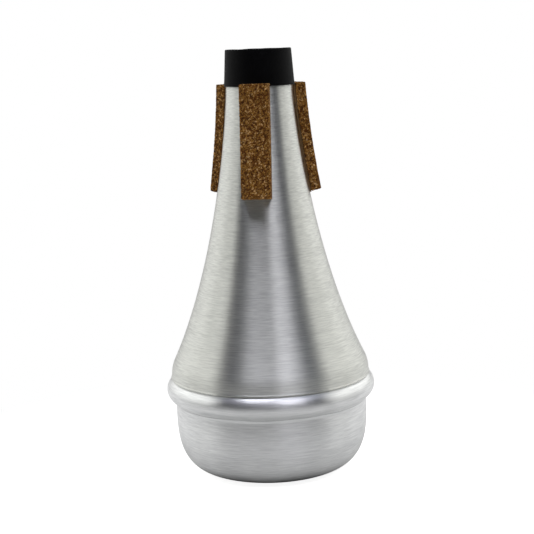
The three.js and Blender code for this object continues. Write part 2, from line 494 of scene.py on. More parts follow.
@dataclass(frozen=True)
class SpunAluminium:
    """Aluminium sheet spun over a former, then rubbed round with a fine abrasive.

    The rubbing leaves rings that smear every reflection up and down the wall but keep its
    sides sharp, so the metal shows upright bands of light and dark. The lowest millimetres
    are painted dark, a painted shade that stands for the shaded table the foot mirrors.
    Real turning lines lie about 0.1 mm apart; they are drawn coarser here, because lines
    that fine can't be seen at this distance.
    """

    name: str
    roughness: float
    anisotropy: float
    stop_lines_mm: tuple[float, ...]
    stop_line_dirt: float = 0.13
    bright: str = "#E8E9E4"
    dull: str = "#C2C3BF"
    # Colour of the dirt in the stop lines and of the painted shade at the foot.
    grime_and_foot_shade: str = "#302F2F"

    # Turning lines: pitch in mm and changes in one radian, for each of three finenesses.
    fine_line: tuple[float, float] = (0.42, 5.0)
    hair_line: tuple[float, float] = (0.14, 11.0)
    broad_line: tuple[float, float] = (3.2, 0.7)
    smear_mm: float = 17.0

    # How much of the tone each pattern makes, and the part of the sum that shows.
    fine_share: float = 0.7
    broad_share: float = 0.14
    smear_share: float = 0.2
    tone_span: tuple[float, float] = (0.37, 0.69)

    # Heights in mm between which the painted shade of the foot fades out, and its strength.
    foot_shade_mm: tuple[float, float] = (1.2, 3.1)
    foot_shade_strength: float = 0.95

    def material(self) -> bpy.types.Material:
        """Build the material.

        Returns:
            The finished material.
        """
        material, tree = new_material(self.name)
        along = add_node(tree, "ShaderNodeAttribute", {"attribute_name": ALONG})
        place = add_node(tree, "ShaderNodeTexCoord")
        flat = add_node(tree, "ShaderNodeVectorMath", {"operation": "MULTIPLY", 1: (1.0, 1.0, 0.0)},
                        {0: place.outputs["Object"]})
        round_way = add_node(tree, "ShaderNodeVectorMath", {"operation": "NORMALIZE"}, {0: flat.outputs[0]})

        fine = self.ring_pattern(tree, along, round_way, self.fine_line, 3.0)
        hair = self.ring_pattern(tree, along, round_way, self.hair_line, 1.0)
        broad = self.ring_pattern(tree, along, round_way, self.broad_line, 2.0)
        smear = add_node(tree, "ShaderNodeTexNoise", {"Scale": 1 / (self.smear_mm * MM), "Detail": 3.0},
                         {"Vector": place.outputs["Object"]})

        tone = add_node(tree, "ShaderNodeMath", {"operation": "MULTIPLY_ADD", 1: self.fine_share},
                        {0: fine.outputs[0], 2: self.scaled(tree, broad, self.broad_share)})
        tone = add_node(tree, "ShaderNodeMath", {"operation": "MULTIPLY_ADD", 1: self.smear_share},
                        {0: smear.outputs[0], 2: tone.outputs[0]})
        spread = add_node(tree, "ShaderNodeMapRange",
                          {"From Min": self.tone_span[0], "From Max": self.tone_span[1]},
                          {"Value": tone.outputs[0]})
        colour = add_node(tree, "ShaderNodeMix", {"data_type": "RGBA", 6: linear(self.dull), 7: linear(self.bright)},
                          {0: spread.outputs[0]})

        heights = add_node(tree, "ShaderNodeSeparateXYZ", None, {0: place.outputs["Object"]})
        # Painted shade: the base colour darkens over the lowest millimetres, for the dark table under the foot that the
        # metal mirrors.
        painted_foot_shade = add_node(tree, "ShaderNodeMapRange",
                            {"interpolation_type": "SMOOTHSTEP", "From Min": self.foot_shade_mm[1] * MM,
                             "From Max": self.foot_shade_mm[0] * MM, "To Max": self.foot_shade_strength},
                            {"Value": heights.outputs["Z"]})
        grime_and_shade = add_node(tree, "ShaderNodeMath", {"operation": "MAXIMUM"},
                         {0: painted_foot_shade.outputs[0], 1: self.stop_lines(tree, heights, smear)})
        # Mixes in the dirt of the stop lines and the painted shade of the foot.
        grimed_and_shaded = add_node(tree, "ShaderNodeMix", {"data_type": "RGBA", 7: linear(self.grime_and_foot_shade)},
                         {0: grime_and_shade.outputs[0], 6: colour.outputs[2]})

        # The two patterns average about a half, so taking off half of both shares keeps the mean.
        smear_swing, fine_swing = 0.12, 0.1
        rough = add_node(tree, "ShaderNodeMath", {"operation": "MULTIPLY_ADD", 1: smear_swing},
                         {0: smear.outputs[0], 2: self.scaled(tree, fine, fine_swing)})
        rough = add_node(tree, "ShaderNodeMath",
                         {"operation": "ADD", 1: self.roughness - (smear_swing + fine_swing) / 2},
                         {0: rough.outputs[0]})
        relief = add_node(tree, "ShaderNodeMath", {"operation": "MULTIPLY_ADD", 1: 0.6},
                          {0: hair.outputs[0], 2: fine.outputs[0]})
        bump = add_node(tree, "ShaderNodeBump", {"Strength": 0.9, "Distance": 0.00003},
                        {"Height": relief.outputs[0]})
        tangent = add_node(tree, "ShaderNodeTangent", {"direction_type": "RADIAL", "axis": "Z"})
        # A quarter turn lays the smear across the lines, up and down the wall.
        shader = add_node(
            tree, "ShaderNodeBsdfPrincipled",
            {"Metallic": 1.0, "Anisotropic": self.anisotropy, "Anisotropic Rotation": 0.25},
            {"Base Color": grimed_and_shaded.outputs[2], "Roughness": rough.outputs[0],
             "Normal": bump.outputs[0], "Tangent": tangent.outputs[0]},
        )
        add_node(tree, "ShaderNodeOutputMaterial", None, {"Surface": shader.outputs[0]})
        return material

    def stop_lines(
        self, tree: bpy.types.NodeTree, heights: bpy.types.Node, smear: bpy.types.Node
    ) -> bpy.types.NodeSocket:
        """Dirt in the deeper lines where the tool stopped, broken up along each line.

        Args:
            tree: node tree that gets the nodes.
            heights: gives the height in its Z output.
            smear: gives the broad noise.

        Returns:
            How dirty each point is, 0 to 1.
        """
        swing_mm, half_width_mm = 0.9, 0.14
        patchy = add_node(tree, "ShaderNodeMapRange",
                          {"From Min": 0.36, "From Max": 0.56, "To Min": 0.01, "To Max": self.stop_line_dirt},
                          {"Value": smear.outputs[0]})
        wander = add_node(tree, "ShaderNodeMath", {"operation": "MULTIPLY_ADD", 1: swing_mm * MM},
                          {0: smear.outputs[0], 2: heights.outputs["Z"]})
        hits = [
            add_node(tree, "ShaderNodeMath",
                     {"operation": "COMPARE", 1: (line_mm + swing_mm / 2) * MM, 2: half_width_mm * MM},
                     {0: wander.outputs[0]}).outputs[0]
            for line_mm in self.stop_lines_mm
        ]
        on_line = hits[0]
        for hit in hits[1:]:
            on_line = add_node(tree, "ShaderNodeMath", {"operation": "MAXIMUM"}, {0: on_line, 1: hit}).outputs[0]
        return add_node(tree, "ShaderNodeMath", {"operation": "MULTIPLY"},
                        {0: on_line, 1: patchy.outputs[0]}).outputs[0]

    def ring_pattern(
        self, tree: bpy.types.NodeTree, along: bpy.types.Node, round_way: bpy.types.Node,
        line: tuple[float, float], detail: float,
    ) -> bpy.types.Node:
        """Noise drawn out round the axis.

        Args:
            tree: node tree that gets the nodes.
            along: gives the distance along the section in mm.
            round_way: gives the unit direction from the axis.
            line: distance between lines in mm, and how often a line changes in one radian.
            detail: detail of the noise.

        Returns:
            The noise node.
        """
        pitch_mm, changes = line
        spread = add_node(tree, "ShaderNodeVectorMath", {"operation": "SCALE", "Scale": changes},
                          {0: round_way.outputs[0]})
        steps = add_node(tree, "ShaderNodeMath", {"operation": "MULTIPLY", 1: 1 / pitch_mm},
                         {0: along.outputs["Fac"]})
        lift = add_node(tree, "ShaderNodeCombineXYZ", None, {"Z": steps.outputs[0]})
        where = add_node(tree, "ShaderNodeVectorMath", {"operation": "ADD"},
                         {0: spread.outputs[0], 1: lift.outputs[0]})
        return add_node(tree, "ShaderNodeTexNoise", {"Scale": 1.0, "Detail": detail, "Roughness": 0.6},
                        {"Vector": where.outputs[0]})

    def scaled(self, tree: bpy.types.NodeTree, source: bpy.types.Node, factor: float) -> bpy.types.NodeSocket:
        """First output of a node times a factor."""
        return add_node(tree, "ShaderNodeMath", {"operation": "MULTIPLY", 1: factor},
                        {0: source.outputs[0]}).outputs[0]


@dataclass(frozen=True)
class BlackVinyl:
    """Soft black vinyl tube, dipped and pulled over the neck.

    It drinks the light; only a worn sheen on its edges and some dust tell its shape.
    """

    name: str = "black_vinyl"
    body: str = "#020203"
    dusty: str = "#0B0B0D"
    roughness: float = 0.62
    grain_mm: float = 0.35
    dust_mm: float = 2.4

    def material(self) -> bpy.types.Material:
        """Build the material.

        Returns:
            The finished material.
        """
        material, tree = new_material(self.name)
        place = add_node(tree, "ShaderNodeTexCoord")
        grain = add_node(tree, "ShaderNodeTexNoise", {"Scale": 1 / (self.grain_mm * MM), "Detail": 3.0},
                         {"Vector": place.outputs["Object"]})
        dust = add_node(tree, "ShaderNodeTexNoise", {"Scale": 1 / (self.dust_mm * MM), "Detail": 5.0, "Roughness": 0.7},
                        {"Vector": place.outputs["Object"]})
        lying = add_node(tree, "ShaderNodeMapRange", {"From Min": 0.5, "From Max": 0.85, "To Max": 0.5},
                         {"Value": dust.outputs[0]})
        colour = add_node(tree, "ShaderNodeMix", {"data_type": "RGBA", 6: linear(self.body), 7: linear(self.dusty)},
                          {0: lying.outputs[0]})
        rough = add_node(tree, "ShaderNodeMapRange",
                         {"To Min": self.roughness - 0.1, "To Max": self.roughness + 0.12},
                         {"Value": dust.outputs[0]})
        bump = add_node(tree, "ShaderNodeBump", {"Strength": 0.5, "Distance": 0.00004},
                        {"Height": grain.outputs[0]})
        shader = add_node(
            tree, "ShaderNodeBsdfPrincipled", {"IOR": 1.5, "Specular IOR Level": 0.09},
            {"Base Color": colour.outputs[2], "Roughness": rough.outputs[0], "Normal": bump.outputs[0]},
        )
        add_node(tree, "ShaderNodeOutputMaterial", None, {"Surface": shader.outputs[0]})
        return material


@dataclass(frozen=True)
class GroundCork:
    """Cork ground to granules of about a millimetre and pressed with a dark binder.

    The cut faces show each granule as a fleck of its own tone, with dark seams and pits.
    """

    name: str = "ground_cork"
    seam: str = "#2A1504"
    dark: str = "#542E08"
    middle: str = "#93682E"
    pale: str = "#D8AE78"
    # Paler tone painted on the edges: a painted highlight where the edges catch the light.
    worn_and_lit: str = "#D2B288"
    roughness: float = 0.82
    fleck_mm: float = 0.42
    fine_mm: float = 0.25

    def material(self) -> bpy.types.Material:
        """Build the material.

        Returns:
            The finished material.
        """
        material, tree = new_material(self.name)
        place = add_node(tree, "ShaderNodeTexCoord")
        granule = add_node(tree, "ShaderNodeAttribute", {"attribute_name": GRAIN})
        crevice = add_node(tree, "ShaderNodeAttribute", {"attribute_name": CREVICE})
        fleck = add_node(tree, "ShaderNodeTexVoronoi", {"Scale": 1 / (self.fleck_mm * MM)},
                         {"Vector": place.outputs["Object"]})
        fine = add_node(tree, "ShaderNodeTexNoise", {"Scale": 1 / (self.fine_mm * MM), "Detail": 3.0},
                        {"Vector": place.outputs["Object"]})
        parts = add_node(tree, "ShaderNodeSeparateColor", None, {0: fleck.outputs["Color"]})
        granule_tone = add_node(tree, "ShaderNodeMath", {"operation": "MULTIPLY_ADD", 1: 0.35, 2: -0.15},
                                {0: granule.outputs["Fac"]})
        tone = add_node(tree, "ShaderNodeMath", {"operation": "MULTIPLY_ADD", 1: 0.95},
                        {0: parts.outputs[0], 2: granule_tone.outputs[0]})
        stops = ((0.05, self.dark), (0.4, self.middle), (0.65, self.middle), (1.0, self.pale))
        flecked = add_ramp(tree, [(at, linear(colour)) for at, colour in stops], tone.outputs[0])
        seams = add_node(tree, "ShaderNodeMix", {"data_type": "RGBA", 7: linear(self.seam)},
                         {0: crevice.outputs["Fac"], 6: flecked})
        # Painted highlight: sharp edges and corners, found by pointiness, are painted paler, as edges that catch the
        # light look.
        bevel = add_node(tree, "ShaderNodeNewGeometry")
        edge = add_node(tree, "ShaderNodeMapRange", {"From Min": 0.54, "From Max": 0.66, "To Max": 0.55},
                        {"Value": bevel.outputs["Pointiness"]})
        worn_and_lit = add_node(tree, "ShaderNodeMix", {"data_type": "RGBA", 7: linear(self.worn_and_lit)},
                        {0: edge.outputs[0], 6: seams.outputs[2]})
        rough = add_node(tree, "ShaderNodeMapRange",
                         {"To Min": self.roughness - 0.12, "To Max": self.roughness + 0.12},
                         {"Value": fine.outputs[0]})
        bump = add_node(tree, "ShaderNodeBump", {"Strength": 0.7, "Distance": 0.00012},
                        {"Height": fine.outputs[0]})
        shader = add_node(
            tree, "ShaderNodeBsdfPrincipled", {"IOR": 1.45, "Specular IOR Level": 0.12},
            {"Base Color": worn_and_lit.outputs[2], "Roughness": rough.outputs[0], "Normal": bump.outputs[0]},
        )
        add_node(tree, "ShaderNodeOutputMaterial", None, {"Surface": shader.outputs[0]})
        return material


@dataclass(frozen=True)
class DriedAdhesive:
    """Contact adhesive, brushed on and dried to an amber film with a stringy edge."""

    name: str = "dried_adhesive"
    thin: str = "#7A5A30"
    thick: str = "#3C2A14"
    roughness: float = 0.45
    string_mm: float = 0.6

    def material(self) -> bpy.types.Material:
        """Build the material.

        Returns:
            The finished material.
        """
        material, tree = new_material(self.name)
        place = add_node(tree, "ShaderNodeTexCoord")
        strings = add_node(tree, "ShaderNodeTexNoise", {"Scale": 1 / (self.string_mm * MM), "Detail": 4.0},
                           {"Vector": place.outputs["Object"]})
        colour = add_node(tree, "ShaderNodeMix", {"data_type": "RGBA", 6: linear(self.thin), 7: linear(self.thick)},
                          {0: strings.outputs[0]})
        rough = add_node(tree, "ShaderNodeMapRange",
                         {"To Min": self.roughness - 0.15, "To Max": self.roughness + 0.2},
                         {"Value": strings.outputs[0]})
        bump = add_node(tree, "ShaderNodeBump", {"Strength": 0.6, "Distance": 0.00008},
                        {"Height": strings.outputs[0]})
        shader = add_node(
            tree, "ShaderNodeBsdfPrincipled", {"IOR": 1.48},
            {"Base Color": colour.outputs[2], "Roughness": rough.outputs[0], "Normal": bump.outputs[0]},
        )
        add_node(tree, "ShaderNodeOutputMaterial", None, {"Surface": shader.outputs[0]})
        return material


@dataclass
class ConeShell:
    """The spun cone with its skirt, rounded flange, dent and hook."""

    sizes: MuteSizes
    curve: ConeCurve
    finish: bpy.types.Material
    around: int = 256
    ring_depth_mm: float = 0.035
    ring_width_mm: float = 0.32
    node: str = "cone_shell"

    def hook(self) -> Section:
        """Outer face of the hook inside the roll, up to the rounded dent.

        Returns:
            The points from the hook's tip.
        """
        s = self.sizes
        radius = s.roll_radius - s.sheet - s.seam_gap
        dent_angle = s.roll_edge_angle + math.degrees(s.crease_width / radius)
        below = dent_angle - math.degrees(s.dent_round / radius)
        dent, start = s.on_roll(radius, dent_angle), s.on_roll(radius, below)
        hook = arc(s.roll_centre, radius, s.hook_tip_angle, below, 24)
        return np.vstack([hook[:-1], rounded(start, dent, self.widest(), s.dent_round, 6)])

    def widest(self) -> np.ndarray:
        """Corner where the flange is widest, just above the crease."""
        s = self.sizes
        edge = s.on_roll(s.roll_radius, s.roll_edge_angle)
        return np.array([s.bead_radius - s.flange_setback, edge[1] + s.crease_width])

    def flange(self) -> tuple[Section, np.ndarray]:
        """Outer face of the hook and the rounded flange above it.

        Returns:
            The points, and the corner of the groove that follows them.
        """
        s = self.sizes
        hook, widest = self.hook(), self.widest()
        centre = (widest[0] - s.flange_round, widest[1])
        skirt = s.bowl_radius + s.skirt_projection
        top = math.degrees(math.acos((skirt - centre[0]) / s.flange_round))
        first = math.degrees(s.dent_round / s.flange_round)
        last = top - math.degrees(s.groove_round / s.flange_round)
        shelf = arc(centre, s.flange_round, first, last, 16)
        edge = rounded(hook[-1], widest, shelf[0], s.dent_round, 6)
        return np.vstack([hook, edge, shelf[1:]]), arc(centre, s.flange_round, top, top, 1)[0]

    def neck(self) -> Section:
        """Outer face under the sleeve: the swage and the taper up to the rim.

        Returns:
            The points from the swage's foot.
        """
        s = self.sizes
        inset = s.sleeve_wall + s.sleeve_fit
        start = self.curve.face(np.array([s.sleeve_foot_height + s.swage_drop]))[0][0]
        top = s.sleeve_foot_height + s.swage_drop + s.swage_length
        share = (top - s.sleeve_foot_height) / s.sleeve_length
        outer = s.sleeve_foot_radius + (s.sleeve_top_radius - s.sleeve_foot_radius) * share
        end = np.array([outer - inset, top])
        rim = np.array([s.sleeve_top_radius - inset, s.total_height - s.sleeve_lip - s.rim_gap])
        pull = s.swage_length / 2
        way = (rim - end) / np.linalg.norm(rim - end)
        swage = bezier([start, start + self.curve.neck_way * pull, end - way * pull, end], 12)
        return np.vstack([swage, np.linspace(end, rim, 12)[1:]])

    def outer(self) -> Section:
        """Whole outer face from the hook's tip up to the neck's rim.

        Returns:
            The points.
        """
        s = self.sizes
        flange, groove_corner = self.flange()
        groove = rounded(flange[-1], groove_corner, self.curve.shoulder, s.groove_round, 8)
        shoulder = rounded(groove_corner, self.curve.shoulder, self.curve.foot, s.shoulder_round, 14)
        line = np.vstack([flange, groove, shoulder, self.curve.points(210)[1:], self.neck()])
        for place in s.tool_rings:
            near = (line[:, 1] > place - 3) & (line[:, 1] < place + 3)
            line[near, 0] -= self.ring_depth_mm * np.exp(-((line[near, 1] - place) / self.ring_width_mm) ** 2)
        return line

    def build(self) -> bpy.types.Object:
        """Make the piece and stand it in for its node.

        Returns:
            The object.
        """
        outer = self.outer()
        section = np.vstack([outer, offset(outer, self.sizes.sheet)[::-1]])
        obj = spin(self.node + "_turned", section, self.around, True)
        obj.data.materials.append(self.finish)
        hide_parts(self.node)
        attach(obj, BODY)
        return obj


@dataclass
class BottomBowl:
    """The spun bowl with its flared wall and rolled rim."""

    sizes: MuteSizes
    finish: bpy.types.Material
    around: int = 256
    score_depth_mm: float = 0.13
    score_width_mm: float = 0.28
    second_score_mm: tuple[float, float] = (1.3, 0.2)  # how far above the first, and its width
    node: str = "bottom_bowl"

    def outer(self) -> Section:
        """Outer face from the middle of the base up to the cut edge of the roll.

        Returns:
            The points.
        """
        s = self.sizes
        angle = np.linspace(0, math.pi / 2, 61)
        out_share = np.sin(angle) ** (2 / s.bowl_round_power)
        down_share = np.cos(angle) ** (2 / s.bowl_round_power)
        radius = s.base_flat_radius + (s.bowl_radius - s.base_flat_radius) * out_share
        bowl = np.column_stack([radius, s.bowl_round_height * (1 - down_share)])
        foot = s.on_roll(s.roll_radius, s.roll_foot_angle)
        bend = s.flare_start_height + (foot[1] - s.flare_start_height) * s.flare_bend_share
        start = np.array([s.bowl_radius, s.flare_start_height])
        wall = np.linspace(bowl[-1], start, 40)
        flare = bezier([start, np.array([s.bowl_radius, bend]), foot], 24)
        roll = arc(s.roll_centre, s.roll_radius, s.roll_foot_angle, s.roll_edge_angle, 36)
        base = np.linspace((0.0, 0.0), (s.base_flat_radius, 0.0), 24)
        return np.vstack([base, bowl[1:], wall[1:], flare[1:], roll[1:]])

    def score(self, radius: np.ndarray, height: np.ndarray, angle: np.ndarray) -> tuple[np.ndarray, np.ndarray]:
        """Score the wandering ring that the spinning tool left under the bead, and a faint one over it.

        Args:
            radius: radii in mm.
            height: heights in mm.
            angle: angles round the axis in radians.

        Returns:
            The changed radii and the heights.
        """
        wander = self.sizes.score_height + 0.16 * ring_noise(angle, 3.1, 2.2)
        depth = self.score_depth_mm * np.clip(0.55 + 0.6 * ring_noise(angle, 8.4, 1.6), 0.08, 1)
        outside = radius > self.sizes.bowl_radius - self.sizes.sheet / 2
        cut = depth * np.exp(-((height - wander) / self.score_width_mm) ** 2)
        above, width = self.second_score_mm
        second = 0.4 * depth * np.exp(-((height - wander - above) / width) ** 2)
        return radius - np.where(outside, cut + second, 0.0), height

    def build(self) -> bpy.types.Object:
        """Make the piece and stand it in for its node.

        Returns:
            The object.
        """
        outer = self.outer()
        section = np.vstack([outer, offset(outer, self.sizes.sheet)[::-1]])
        section[-1, 0] = 0.0
        obj = spin(self.node + "_turned", section, self.around, False, self.score)
        obj.data.materials.append(self.finish)
        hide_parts(self.node)
        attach(obj, BODY)
        return obj


@dataclass
class NeckSleeve:
    """The black sleeve on the neck, a little uneven as soft vinyl is."""

    sizes: MuteSizes
    neck: Section
    finish: bpy.types.Material
    around: int = 192
    node: str = "neck_sleeve"

    def section(self) -> Section:
        """Closed section of the sleeve.

        Returns:
            The points, up the outside and down the inside.
        """
        s = self.sizes
        foot = np.array([s.sleeve_foot_radius, s.sleeve_foot_height])
        top = np.array([s.sleeve_top_radius, s.total_height])
        bore = s.sleeve_top_radius - s.sleeve_wall - s.sleeve_fit - s.sheet
        inner_top = np.array([bore, s.total_height])
        lip_foot = np.array([bore, s.total_height - s.sleeve_lip])
        seat = np.array([s.sleeve_top_radius - s.sleeve_wall, lip_foot[1]])
        inside = offset(self.neck, -s.sleeve_fit)
        inside = inside[(inside[:, 1] < lip_foot[1] - s.rim_gap) & (inside[:, 1] > foot[1] + s.swage_drop / 2)]
        foot_inner = np.array([s.neck_radius + s.sleeve_fit, s.sleeve_foot_height])
        corner = rounded(foot, top, inner_top, s.sleeve_edge_round, 10)
        mouth = rounded(top, inner_top, lip_foot, s.sleeve_edge_round / 2, 6)
        wall = np.linspace(foot, corner[0], 40)
        return np.vstack([wall, corner[1:], mouth, lip_foot, seat, inside[::-1], foot_inner])

    def sag(self, radius: np.ndarray, height: np.ndarray, angle: np.ndarray) -> tuple[np.ndarray, np.ndarray]:
        """Let the outside waver as pulled vinyl does.

        Args:
            radius: radii in mm.
            height: heights in mm.
            angle: angles round the axis in radians.

        Returns:
            The changed radii and heights.
        """
        s = self.sizes
        up = (height - s.sleeve_foot_height) / s.sleeve_length
        outside = np.clip((radius - (s.sleeve_top_radius - 0.6)) / 0.4, 0, 1) * np.clip(up * 6, 0, 1)
        swell = 0.1 * ring_noise(angle, 1.7, 1.3) * np.sin(up * 4.2) - 0.06
        radius = radius + outside * swell * (1 - 0.5 * up)
        # The top tenth settles by a hair, so that the rim isn't a perfect circle.
        height = height - np.clip(up - 0.9, 0, 0.1) * (1.1 + ring_noise(angle, 5.2, 2.1))
        return radius, height

    def build(self) -> bpy.types.Object:
        """Make the piece and stand it in for its node.

        Returns:
            The object.
        """
        obj = spin(self.node + "_pulled_on", self.section(), self.around, True, self.sag)
        obj.data.materials.append(self.finish)
        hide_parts(self.node)
        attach(obj, BODY)
        return obj


@dataclass
class CorkStrip:
    """One cork strip: a worn block of pressed granules that lies on the cone."""

    sizes: MuteSizes
    curve: ConeCurve
    finish: bpy.types.Material
    side: str
    turn: float
    seed: float
    top_trim_mm: float = 0.0
    bottom_trim_mm: float = 0.0
    pitch_mm: float = 0.22
    granule_mm: float = 0.8

    def block(self) -> tuple[np.ndarray, list[tuple[int, ...]]]:
        """Closed skin of a block of small cells.

        Returns:
            Points as shares from 0 to 1 across, out and up, and the faces.
        """
        s = self.sizes
        length = s.cork_length - self.top_trim_mm - self.bottom_trim_mm
        cells = [max(2, round(v / self.pitch_mm)) for v in (s.cork_width, s.cork_thickness, length)]
        index: dict[tuple[int, int, int], int] = {}
        faces: list[tuple[int, ...]] = []

        def corner(key: tuple[int, int, int]) -> int:
            """Number of a lattice point, made when first asked for."""
            return index.setdefault(key, len(index))

        for axis in range(3):
            first, second = (axis + 1) % 3, (axis + 2) % 3
            for level in (0, cells[axis]):
                for i in range(cells[first]):
                    for j in range(cells[second]):
                        ring = []
                        for di, dj in ((0, 0), (1, 0), (1, 1), (0, 1)):
                            key = [0, 0, 0]
                            key[axis], key[first], key[second] = level, i + di, j + dj
                            ring.append(corner((key[0], key[1], key[2])))
                        faces.append(tuple(ring if level else ring[::-1]))
        lattice = np.array(list(index), dtype=float)
        return lattice / np.array(cells), faces

    def wear(self, points: np.ndarray, size: np.ndarray) -> np.ndarray:
        """Round the block's edges, more in some places than in others.

        Args:
            points: points in mm from the block's low corner.
            size: size of the block in mm.

        Returns:
            The worn points.
        """
        worn_and_lit = points.copy()
        wear_per_mm = 0.22
        for i, point in enumerate(points):
            spot = Vector(point) * wear_per_mm + Vector((self.seed, 0, 0))
            round_mm = 0.42 + 0.3 * noise.noise(spot)
            inner = np.clip(point, round_mm, size - round_mm)
            away = point - inner
            reach = np.linalg.norm(away)
            if reach > round_mm:
                worn_and_lit[i] = inner + away / reach * round_mm
        return worn_and_lit

    def place(self, points: np.ndarray) -> np.ndarray:
        """Lay block points on the cone at the front.

        Args:
            points: mm across, out from the inner face, and up from the lower end.

        Returns:
            The points in the row frame in mm.
        """
        s = self.sizes
        low = s.sleeve_foot_height + s.cork_lap - s.cork_length + self.bottom_trim_mm
        face, normal = self.curve.face(low + points[:, 2])
        out = s.cork_standoff + points[:, 1]
        radius = face[:, 0] + out * normal[:, 0]
        height = face[:, 1] + out * normal[:, 1]
        across = points[:, 0] - s.cork_width / 2
        return np.column_stack([across, -np.sqrt(radius ** 2 - across ** 2), height])

    def granules(self, points: np.ndarray) -> tuple[np.ndarray, np.ndarray, np.ndarray]:
        """Relief, tone and seams of the pressed granules.

        Args:
            points: points in mm.

        Returns:
            Relief in mm, a tone from 0 to 1 and a seam share from 0 to 1, for each point.
        """
        relief, tone, seam = (np.zeros(len(points)) for _ in range(3))
        bulge_mm, seam_mm, seam_reach = 0.09, 0.13, 0.16
        for i, point in enumerate(points):
            spot = Vector(point) / self.granule_mm + Vector((self.seed, self.seed, 0))
            spot += noise.noise_vector(spot * 1.9) * 0.28
            gaps, centres = noise.voronoi(spot)
            seam[i] = max(0.0, 1 - (gaps[1] - gaps[0]) / seam_reach)
            tone[i] = noise.cell(centres[0] * 7.3)
            relief[i] = (tone[i] - 0.5) * bulge_mm - seam_mm * seam[i]
        return relief, tone, seam

    def build(self) -> bpy.types.Object:
        """Make the strip and stand it in for its node.

        Returns:
            The object.
        """
        s = self.sizes
        shares, faces = self.block()
        length = s.cork_length - self.top_trim_mm - self.bottom_trim_mm
        size = np.array([s.cork_width, s.cork_thickness, length])
        flat = self.wear(shares * size, size)
        relief, tone, seam = self.granules(flat)
        inward = size / 2 - flat
        inward[:, 2] = np.clip(inward[:, 2], -size[1], size[1])
        inward /= np.maximum(np.linalg.norm(inward, axis=1), 1e-6)[:, None]
        # The inner face stays flat on its film; the granules of the others lie in the block's skin.
        sunk = np.where(shares[:, 1] < 0.02, 0.0, np.minimum(relief - 0.05, 0.0))
        laid = self.place(flat - inward * sunk[:, None])
        turned = laid @ np.array(Matrix.Rotation(self.turn, 3, "Z")).T
        obj = mesh_object(f"cork_{self.side}_strip", turned, faces, {GRAIN: tone, CREVICE: seam})
        obj.data.materials.append(self.finish)
        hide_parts(f"cork_{self.side}")
        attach(obj, BODY)
        return obj


class CardShape(Enum):
    """How a card of the light tent is laid out."""

    CURVED = "degrees round from the camera's side, degrees up"
    OVERHEAD = "metres to the right, metres towards the camera"


@dataclass(frozen=True)
class Card:
    """A glowing card of the light tent with soft edges, seen by the metal but not by the camera.

    The spans and the fades are in the units of its shape. The tone is the linear light that it
    gives at its middle, and the distance is in metres.
    """

    name: str
    shape: CardShape
    first: tuple[float, float]
    second: tuple[float, float]
    fade: tuple[float, float]
    tone: tuple[float, float, float]
    distance: float = 1.45


